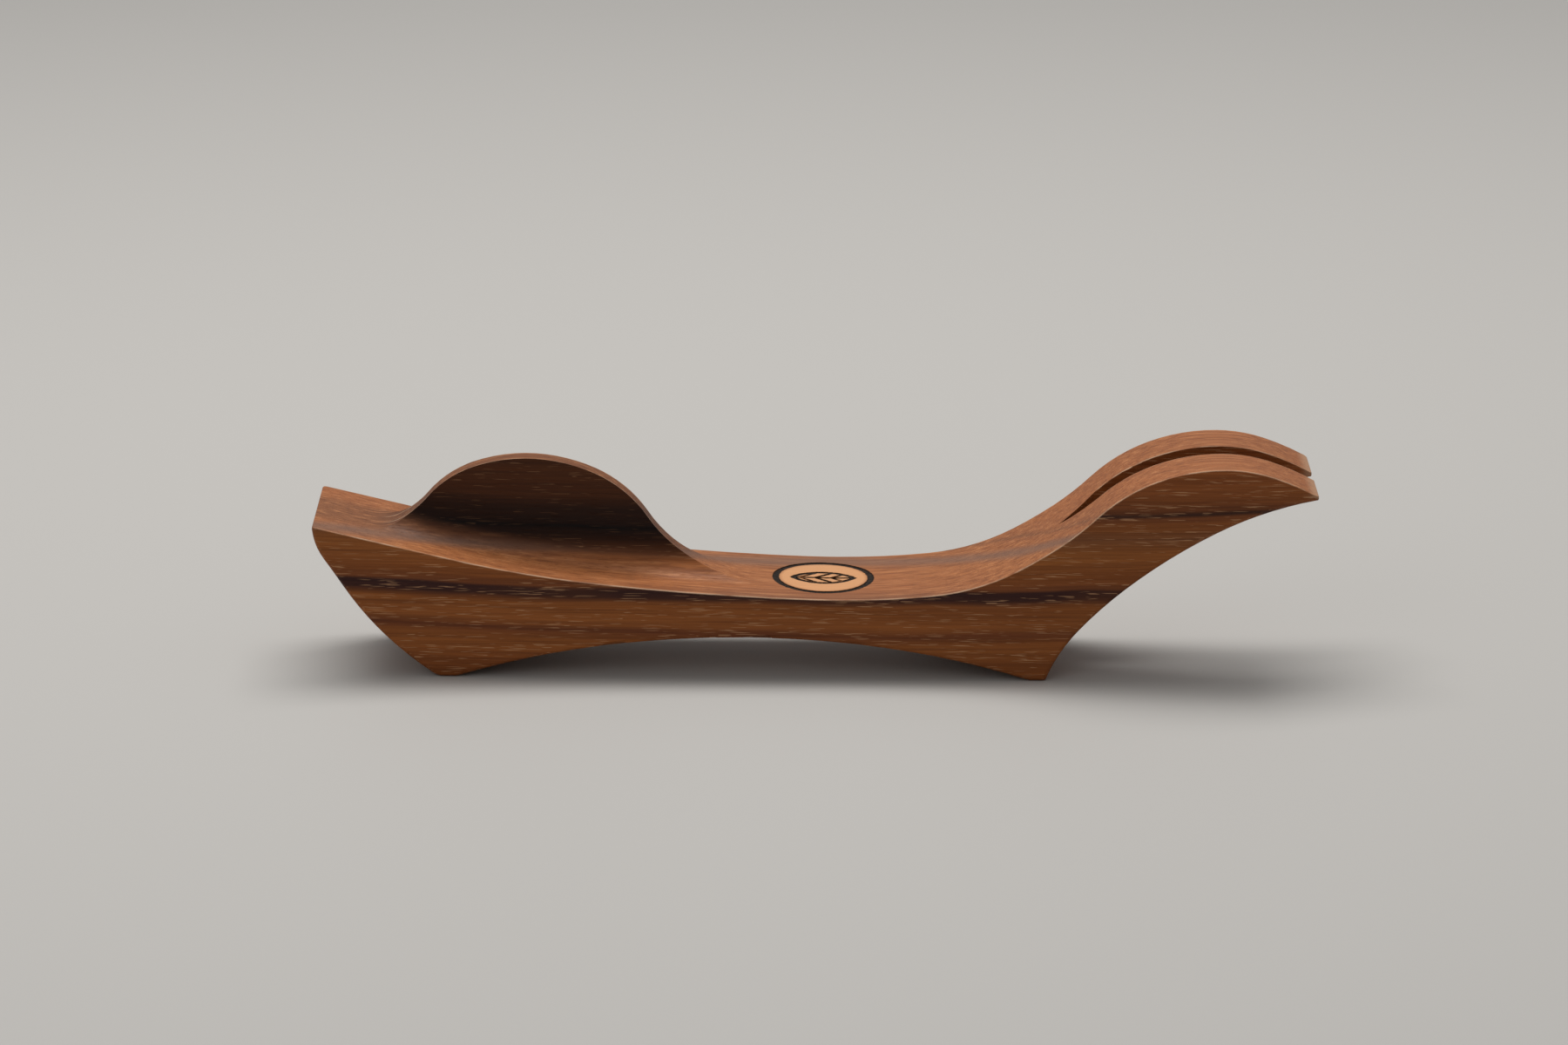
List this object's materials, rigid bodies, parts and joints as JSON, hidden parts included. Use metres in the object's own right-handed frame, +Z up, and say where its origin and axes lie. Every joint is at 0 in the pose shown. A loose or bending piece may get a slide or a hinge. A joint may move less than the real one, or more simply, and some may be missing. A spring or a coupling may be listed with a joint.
{
  "type": "balance board",
  "caption": "Rigid walnut hand board for body work: two feet with an arch between, an upright thin fin, a saddle, and a raised slotted fork at one end.",
  "frame": {"origin": "middle of the footprint on the surface it stands on, which is the bottom centre of the bounding box", "axes": "+X along the length towards the fork tips, +Y across the width, +Z up from the feet"},
  "size_m": [0.305, 0.0446, 0.0677],
  "materials": {
    "oiled_walnut": "solid black walnut, sanded smooth, satin oil finish",
    "charred_walnut": "wood burnt black by a hot stamp, dull"
  },
  "bodies": {
    "root": {"walnut_body": "oiled_walnut", "burnt_ring": "charred_walnut", "burnt_leaf": "charred_walnut"}
  },
  "joints": []
}
